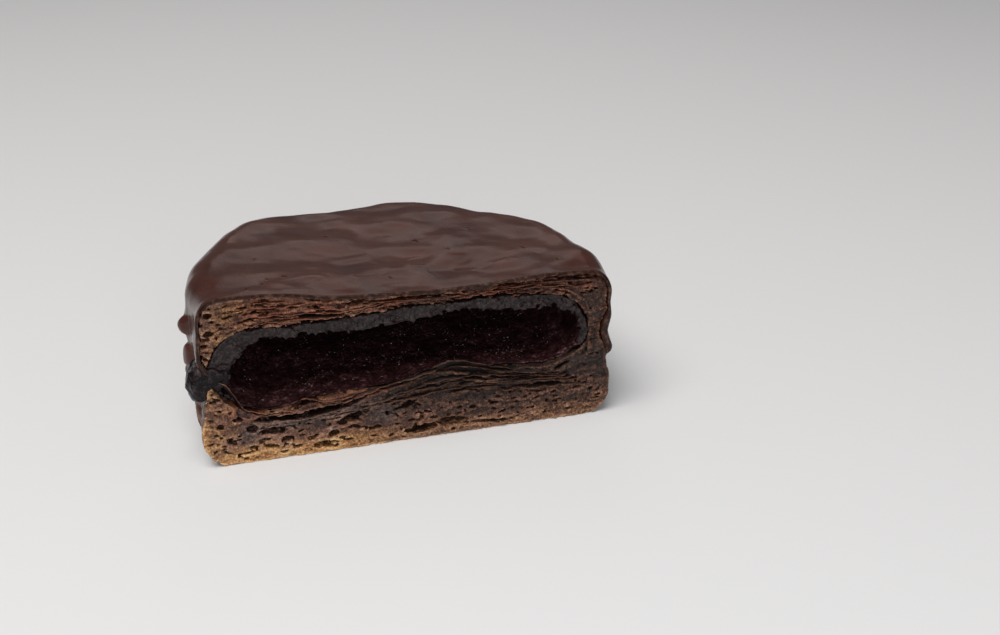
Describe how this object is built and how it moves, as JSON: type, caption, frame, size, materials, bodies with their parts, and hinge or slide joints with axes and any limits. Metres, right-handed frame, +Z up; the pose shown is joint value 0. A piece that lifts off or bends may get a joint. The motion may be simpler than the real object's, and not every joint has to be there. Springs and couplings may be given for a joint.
{
  "type": "chocolate-coated kouign-amann, cut piece",
  "caption": "Larger piece of a round laminated pastry with a chocolate coat, cut open to a paste-lined hollow.",
  "frame": {"origin": "under the middle of the piece's box, on the surface that it lies on", "axes": "+X along the cut to the right seen from the cut side, +Y away from the cut towards the round back, +Z up"},
  "size_m": [0.0978, 0.0624, 0.0398],
  "materials": {
    "pastry": "baked laminated dough, matte, torn flakes",
    "chocolate_filling": "dark chocolate paste, satin, crumbly edge",
    "chocolate_coating": "set chocolate coat, soft gloss"
  },
  "bodies": {
    "root": {"pastry": "pastry", "chocolate_filling": "chocolate_filling", "chocolate_coating": "chocolate_coating"}
  },
  "joints": []
}
